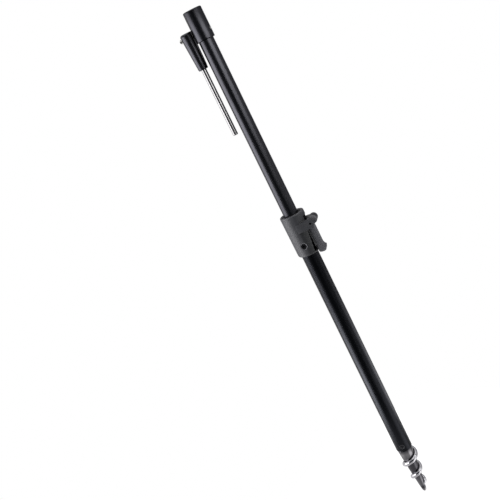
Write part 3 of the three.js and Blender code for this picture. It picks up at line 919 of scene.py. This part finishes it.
# %% Ear faces
plate_start, plate_bend = 0.9 * mm, 8 * mm
plate_half_width = collar_radius + 0.2 * mm
plate_bend_half_width = plate_half_width - 0.95 * mm
plate_end_half_width = ear_end_half_width + 0.35 * mm
plate_start_wall, plate_end_wall = 1.6 * mm, 1 * mm
plate_corners = [
    (plate_start, -plate_half_width), (plate_bend, -plate_bend_half_width),
    (collar_reach, -plate_end_half_width), (collar_reach, plate_end_wall - plate_end_half_width),
    (plate_start, plate_start_wall - plate_half_width),
]
ear_faces = slab(
    "ear_faces_charcoal", [(x, y, ear_bottom) for x, y in plate_corners], (0, 0, 2 * ear_half_height)
)
face_outwards()
select_edges(ear_faces, across_free_end)
bpy.ops.mesh.bevel(offset=2.2 * mm, segments=8, affect="EDGES")
bpy.ops.object.mode_set(mode="OBJECT")
drill_for_pivot(ear_faces)
break_edges(ear_faces, 0.25 * mm, segments=2, sharper_than=40)
apply_modifier(ear_faces, "MIRROR", use_axis=(False, True, False))
hand_over(ear_faces, "lower", "charcoal_plastic", charcoal)

# %% [markdown]
# The lever is cut from one side outline: a round cam at the pivot, a broad nose for the thumb that
# stands up and out, a straight arm down the collar, and a tip that flares out for the finger. The
# outline is traced and filled, the face is extruded to the lever's width, and the same relaxing
# rounds its edges. A shallow channel lightens the arm on its inner side.

# %% Lever
lever_half_width = high("clamp_lever", 1)
lever_tip = low("clamp_lever", 2)
cam_radius = 5.2 * mm
cam_x = pivot_x - 0.4 * mm
nose_radius = 4.6 * mm
nose_x, nose_z = pivot_x + 3.9 * mm, pivot_height + 2.1 * mm
arm_inner, arm_outer = pivot_x - 4.1 * mm, pivot_x + 1.9 * mm
arm_tip_inner = arm_inner - 0.7 * mm
lip_start = lever_tip + 9 * mm
lip_flare = 2.6 * mm
lip_top = (arm_outer + lip_flare, lever_tip + 4.5 * mm)


def curve_points(start, pull, end, steps):
    """Points of a curve that leaves start towards pull and arrives at end from it."""
    shares = [(i + 1) / steps for i in range(steps)]
    return [
        tuple((1 - s) ** 2 * a + 2 * s * (1 - s) * b + s * s * c for a, b, c in zip(start, pull, end))
        for s in shares
    ]


cam_start = 180 + math.degrees(math.acos((cam_x - arm_inner) / cam_radius))
lever_outline = [(arm_tip_inner, lever_tip + lip_flare)]
lever_outline += arc(cam_x, pivot_height, cam_radius, cam_start, 90, steps=18)
lever_outline += arc(nose_x, nose_z, nose_radius, 105, -90, steps=30)
for pull, end, steps in (
    ((arm_outer, nose_z - nose_radius), (arm_outer, ear_bottom - 1 * mm), 8),
    ((arm_outer, ear_bottom - 1 * mm), (arm_outer, lip_start), 1),
    ((arm_outer + 0.75 * mm, lever_tip + 4.7 * mm), lip_top, 8),
    (lip_top, (arm_outer + lip_flare / 2, lever_tip + 1 * mm), 1),
    ((arm_outer, lever_tip), (arm_outer - 1.3 * mm, lever_tip), 5),
    ((arm_tip_inner, lever_tip), lever_outline[0], 5),
):
    lever_outline += curve_points(lever_outline[-1], pull, end, steps)
lever = slab(
    "clamp_lever_charcoal", [(x, -lever_half_width, z) for x, z in lever_outline[:-1]],
    (0, 2 * lever_half_width, 0),
)
face_outwards()
break_edges(lever, 0.7 * mm, segments=3, sharper_than=40)

channel_half_width = lever_half_width - 2 * mm
cut(lever, add_block(
    "channel", (arm_inner - 2 * mm, -channel_half_width, lip_start),
    (arm_inner + 1.7 * mm, channel_half_width, pivot_height - cam_radius),
))
drill_for_pivot(lever)
relax_moulding(lever, 0.24 * mm, repeats=5)

# %% [markdown]
# The lever has two painted shades of its own. Its round thumb face gets a painted shade and the
# sides of the nose a painted highlight, so the nose shows a pale side with a dark rim. A share of
# each is worked out from the place on the lever: how far it is from the middle plane, and how high
# it lies.

# %% Painted shade and highlight of the lever
thumb_shade_black = (0.010, 0.010, 0.012)
nose_side_lit_grey = (0.23, 0.23, 0.24)
_, lever_y, lever_z = place_parts(lever_charcoal.node_tree)
off_middle = node_math("ABSOLUTE", lever_y)
side_start, side_end = lever_half_width - 1.2 * mm, lever_half_width - 0.8 * mm
at_nose = above(lever_z, pivot_height - 5 * mm, pivot_height - 2 * mm)
up_nose = above(lever_z, pivot_height, pivot_height + 3 * mm)
# Painted shade on the round thumb face, and a painted highlight on the sides of the nose.
repaint(thumb_shade_black, below(off_middle, side_start, side_end), at_nose)
repaint(nose_side_lit_grey, above(off_middle, side_start, side_end), up_nose)
hand_over(lever, "lever", "charcoal_plastic", lever_charcoal, "clamp_lever", crease=60)

# %% [markdown]
# The pivot pin and the two side screws are blackened steel. The pin is a plain turned bar with
# broken edges, seen as a small dark disc in each ear. The screws have a hexagon socket, which is
# cut with a six-sided bar. One screw is modelled and its copy is turned to the other side.

# %% Pivot pin and side screws
pivot_pin_radius = high("lever_pivot_pin", 2) - pivot_height
pin_ends = ends("lever_pivot_pin", 1)
pivot_pin = turn_bar("lever_pin_dark", pivot_pin_radius, *pin_ends, 0.2 * mm, axis="Y", centre=pivot_place)
hand_over(pivot_pin, "lower", "dark_steel", dark_steel, "lever_pivot_pin")

screw_face, screw_end = ends("collar_screw_front", 1)
socket_radius, socket_depth = 1.3 * mm, 1 * mm
side_screw = turn_bar(
    "side_screw_front", high("collar_screw_front", 0), screw_face, screw_end, 0.35 * mm,
    axis="Y", centre=side_hole_place,
)
clear_selection()
bpy.ops.mesh.primitive_cylinder_add(
    vertices=6, radius=socket_radius, depth=4 * socket_depth, rotation=(right_angle, 0, 0),
    location=(0, screw_face - socket_depth, side_hole_place[2]),
)
cut(side_screw, name_piece("hexagon"))
hand_over(side_screw, "lower", "dark_steel", dark_steel, "collar_screw_front", crease=25)

select_only(side_screw)
bpy.ops.object.duplicate()
back_screw = bpy.context.object
back_screw.name = back_screw.data.name = "side_screw_back"
edit_all()
bpy.ops.transform.rotate(value=math.pi, orient_axis="Z", center_override=(0, 0, 0))
hand_over(back_screw, "lower", "dark_steel", dark_steel, "collar_screw_back", crease=25)

# %% [markdown]
# The ground screw is a bright casting: a blunt tapering core with one thick, rounded flight wound
# round it. The core is turned. The flight could be a helical curve with a bevel, but it has to
# taper inwards and sink into the core at both ends, so it is wound by hand: a round face is
# extruded a small step, moved in or out and down, and turned round the stick's axis, again and
# again. With no window the rotate operator turns the other way, so its angle has the other sign.

# %% Screw core
shoulder_radius = tube_radius - 0.5 * mm
shoulder_edge = 0.4 * mm
shoulder = screw_top - 0.3 * mm
shank_top = high("ground_screw", 2)
shank_radius = tube_radius - tube_wall - 0.3 * mm
shank_edge = 0.5 * mm
tip_radius, tip_round = 1.9 * mm, 1.1 * mm
taper_power = 0.8
core_steps = 40


def core_radius(height):
    share = min(max(height / screw_top, 0), 1)
    return tip_radius + (shoulder_radius - tip_radius) * share ** taper_power


core_rise = (shoulder - shoulder_edge - tip_round) / core_steps
core_heights = [tip_round + core_rise * (i + 1) for i in range(core_steps)]
core_outline = [(0, 0)] + lower_corner(tip_radius, 0, tip_round)
core_outline += [(core_radius(height), height) for height in core_heights]
core_outline += [(shoulder_radius - shoulder_edge, shoulder), (shank_radius, shoulder)]
core_outline += [(shank_radius, shank_top - shank_edge), (shank_radius - shank_edge, shank_top)]
core_outline += [(0, shank_top)]
screw = turn("ground_screw_bright", core_outline)

# %% Screw flight
flight_radius = 2.3 * mm
flight_stretch = 1.22
flight_pitch = 19.4 * mm
flight_turns = 2.53
flight_start_drop = 5.8 * mm
flight_start_angle = 1.9
flight_sides, flight_steps = 24, 192
sunk_depth = 0.5 * mm
top_rise, tip_rise = 1.7 * mm, 0.8 * mm
fade_in, fade_out = 0.05, 0.1


def ease(value, full):
    share = min(max(value / full, 0), 1)
    return share * share * (3 - 2 * share)


def flight_place(share):
    """How far the flight's centre is from the axis, and its height."""
    height = screw_top - flight_start_drop - flight_pitch * flight_turns * share
    sunk = core_radius(height) - flight_radius - sunk_depth
    out = core_radius(height) + top_rise + (tip_rise - top_rise) * share
    reach = sunk + (out - sunk) * ease(share, fade_in) * ease(1 - share, fade_out)
    return max(reach, 0), height


reach, height = flight_place(0)
clear_selection()
bpy.ops.mesh.primitive_circle_add(
    vertices=flight_sides, radius=flight_radius, fill_type="NGON",
    rotation=(right_angle, 0, flight_start_angle),
    location=(reach * math.cos(flight_start_angle), reach * math.sin(flight_start_angle), height),
)
flight = name_piece("screw_flight")
bpy.ops.object.mode_set(mode="EDIT")
bpy.ops.mesh.select_mode(type="FACE")
bpy.ops.mesh.select_all(action="SELECT")
bpy.ops.transform.resize(value=(1, 1, flight_stretch), center_override=(0, 0, height))
step_angle = 2 * math.pi * flight_turns / flight_steps
for step in range(flight_steps):
    next_reach, next_height = flight_place((step + 1) / flight_steps)
    angle = flight_start_angle - step_angle * step
    out = next_reach - reach
    bpy.ops.mesh.extrude_region_move(
        TRANSFORM_OT_translate={"value": (out * math.cos(angle), out * math.sin(angle), next_height - height)}
    )
    bpy.ops.transform.rotate(value=step_angle, orient_axis="Z", center_override=(0, 0, 0))
    reach, height = next_reach, next_height
face_outwards()
wound = [math.hypot(v.co.x, v.co.y) / mm for v in flight.data.vertices]
print(f"flight reaches {max(wound):.1f} mm from the axis, {len(flight.data.polygons)} faces")
join(screw, flight)

# %% [markdown]
# Earth polishes the crown of the flight, and a painted highlight brightens it further, while its
# flanks carry a painted shade. The crown winds down the screw and comes nearer to the axis as the
# core tapers, so one fixed distance can't pick it out.
# The distance of the flight's centre line is worked out from the height and subtracted from the
# distance of each place. What is left says how far the place lies inside or outside that line.

# %% Worn crown with a painted highlight, and painted shade on the flanks
flank_shade_grey = (0.09, 0.088, 0.098)
crown_polish_and_highlight = (0.68, 0.67, 0.70)
screw_tree = plated_screw.node_tree
from_screw_axis = distance_from(screw_tree, (0, 0, 0), (1, 1, 0))
flight_low, flight_high = flight_place(1)[1], flight_place(0)[1]
centre_line = between(
    place_parts(screw_tree)["Z"],
    core_radius(flight_low) + tip_rise, core_radius(flight_high) + top_rise, flight_low, flight_high,
)
over_centre = node_math("SUBTRACT", from_screw_axis, centre_line)
# Painted shade on the flanks; the crown gets worn polish and a painted highlight.
repaint(flank_shade_grey, above(over_centre, -2.0 * mm, -1.3 * mm))
repaint(crown_polish_and_highlight, above(over_centre, -0.9 * mm, -0.3 * mm))
hand_over(screw, "lower", "bright_metal", plated_screw, "ground_screw", crease=40)

# %% [markdown]
# Six solids lie inside the stick or show only a sliver. Their CAD meshes stay as they are and get
# the finish of their own stuff.

# %% Finishes for the hidden solids
for node, finish in {
    "screw_retaining_pin": dark_steel,
    "clamp_liner": charcoal,
    "pressure_pad": pale_nylon,
    "glide_bush": pale_nylon,
    "tube_end_plug": charcoal,
    "tbar_bush": pale_nylon,
}.items():
    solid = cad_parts[node]
    solid.data.materials.clear()
    solid.data.materials.append(finish)
    print(node, "->", finish.name)

# %% [markdown]
# The set is a small, round white table under a white surround. To the camera the table glows
# almost white by itself, and fully white at the rim, which hides the rim. The lamps add the rest,
# so only the shadow at the foot stays a little darker. The bright screw mirrors the table all
# round, so what it mirrors is set by the side: dim in front, as if a grey cloth lay there, a
# bright card at the right, a dark gap beyond it, and a middling light at the left and behind.

# %% Table
table_radius = 0.2
table_drop = 0.3 * mm
mirrored_glow_stops = [
    (-150, 0.6), (-115, 0.45), (-70, 0.5), (-35, 0.3), (35, 0.22),
    (50, 1.4), (86, 1.4), (98, 0.15), (150, 0.4),
]
brightest = 2.0
clear_selection()
bpy.ops.mesh.primitive_circle_add(
    vertices=round_steps, radius=table_radius, fill_type="NGON", location=(0, 0, -table_drop)
)
floor = name_piece("floor")
floor_finish, floor_tree, floor_shader = new_finish("white_floor", Roughness=0.9)
cloud = pattern(floor_tree, (3, 3, 3), detail=2)
join_up(shades(cloud, (0.5, 0.5, 0.5), (0.53, 0.53, 0.53)), floor_shader.inputs["Base Color"])
from_foot = distance_from(floor_tree, (0, 0, 0), (1, 1, 1))
rim_glow = between(from_foot, 0.9, 1.02, start=0.05, end=0.19)

floor_x, floor_y, _ = place_parts(floor_tree)
azimuth = node_math("ARCTAN2", floor_x, between(floor_y, 1.0, -1.0, start=-1.0, end=1.0))
round_the_foot = add_node(floor_tree, "ValToRGB")
join_up(above(azimuth, -math.pi, math.pi), round_the_foot.inputs["Fac"])
stops = round_the_foot.color_ramp.elements
while len(stops) < len(mirrored_glow_stops):
    stops.new(0.5)
for stop, (degrees, value) in zip(stops, mirrored_glow_stops):
    stop.position = (degrees + 180) / 360
    stop.color = (value / brightest, value / brightest, value / brightest, 1)
mirrored_glow = between(round_the_foot.outputs["Color"], 0.0, brightest, start=0.0, end=1.0)

path = add_node(floor_tree, "LightPath").outputs
in_mirrors = node_math("MULTIPLY", path["Is Glossy Ray"], mirrored_glow)
seen = node_math("MAXIMUM", path["Is Camera Ray"], in_mirrors)
glow = add_node(floor_tree, "Emission", Color=(1, 1, 1, 1))
join_up(node_math("MULTIPLY", rim_glow, seen), glow.inputs["Strength"])
both = add_node(floor_tree, "AddShader")
join_up(floor_shader.outputs["BSDF"], both.inputs[0])
join_up(glow.outputs["Emission"], both.inputs[1])
join_up(both.outputs["Shader"], floor_tree.nodes["Material Output"].inputs["Surface"])
floor.data.materials.append(floor_finish)
print("table radius:", table_radius, "m")

# %% [markdown]
# The surround is three skies in one. The camera sees pure white, as in a shop's picture. What the
# stick mirrors is a room that is light behind it and dark in front, where the photographer stands,
# with a darker screen behind at the right, and that gives the black tubes their deep middle. All
# other light is a faint, cool grey, because the lamps do that work.

# %% Surround
screen_azimuth = math.radians(150)
world = bpy.data.worlds.new("white_surround")
bpy.context.scene.world = world
world.use_nodes = True
sky = world.node_tree
plain = sky.nodes["Background"]
set_inputs(plain, {"Color": (0.95, 0.96, 1, 1), "Strength": 0.06})
white = add_node(sky, "Background", Color=(1, 1, 1, 1))
room = add_node(sky, "Background")
path = add_node(sky, "LightPath").outputs
direction = add_node(sky, "TexCoord").outputs["Generated"]


def facing(azimuth):
    """How squarely a direction of the sky faces an azimuth: 1 there, and 0 at right angles to it."""
    return vector_math("DOT_PRODUCT", direction, compass(azimuth, 1, 0))


def mixed_sky(*sources):
    """The second or third source, by a share that is the first."""
    mix = add_node(sky, "MixShader")
    for source, socket in zip(sources, mix.inputs):
        join_up(source, socket)
    return mix.outputs["Shader"]


room_light = shades(facing(eye_azimuth), (0.6, 0.6, 0.6), (0.036, 0.042, 0.048), start=0.0, end=0.45)
screened = above(facing(screen_azimuth), 0.6, 0.85)
join_up(mixed_colour(screened, room_light, (0.22, 0.22, 0.24)), room.inputs["Color"])
in_mirrors = mixed_sky(path["Is Glossy Ray"], plain.outputs["Background"], room.outputs["Background"])
whole_sky = mixed_sky(path["Is Camera Ray"], in_mirrors, white.outputs["Background"])
join_up(whole_sky, sky.nodes["World Output"].inputs["Surface"])
print("surround:", world.name)

# %% [markdown]
# Polished tubes show the lamps rather than the light, so the six lamps are placed by what the
# tubes mirror. Two bright lamps at the left give the long lilac stripe. One is high, for the inner
# tube, and one reaches below the table, because the outer tube mirrors what lies lower. At the
# right a high lamp lights the inner tube, a dim low one the front of the outer tube, and a low
# one further round its edge. A weak lamp overhead softens the rest.

# %% Lamps
def add_lamp(name, azimuth, distance, height, width, length, brightness, tint=(1, 1, 1)):
    """An upright area lamp that faces the stick; brightness is what a mirror would show."""
    data = bpy.data.lights.new(name, "AREA")
    data.shape = "RECTANGLE"
    data.size = width
    data.size_y = length
    data.energy = brightness * math.pi * width * length
    data.color = tint
    lamp = bpy.data.objects.new(name, data)
    bpy.context.scene.collection.objects.link(lamp)
    lamp.location = compass(math.radians(azimuth), distance, height)
    aim = Vector((0, 0, min(height, stick_top)))
    lamp.rotation_euler = (aim - lamp.location).to_track_quat("-Z", "Y").to_euler()
    print(f"{name}: {data.energy:.1f} W, {width} x {length} m")


add_lamp("left_lamp", -68, 1.2, 0.42, 1.25, 0.7, 3.6, tint=(0.98, 0.97, 1.0))
add_lamp("low_left_lamp", -70, 1.2, -0.65, 1.12, 0.8, 5.6)
add_lamp("right_lamp", 55, 1.1, 0.55, 1.0, 0.3, 3.6)
add_lamp("low_right_lamp", 118, 1.1, -0.65, 0.9, 0.8, 2.6)
add_lamp("low_front_lamp", 66, 1.1, -0.62, 1.0, 0.4, 1.6)
add_lamp("top_lamp", 13, 0.2, 1.7, 1.2, 1.2, 1.2)

# %% [markdown]
# The picture is shown with the Standard view, so that the colours come out as they were written.

# %% Finish
bpy.context.scene.view_settings.view_transform = "Standard"
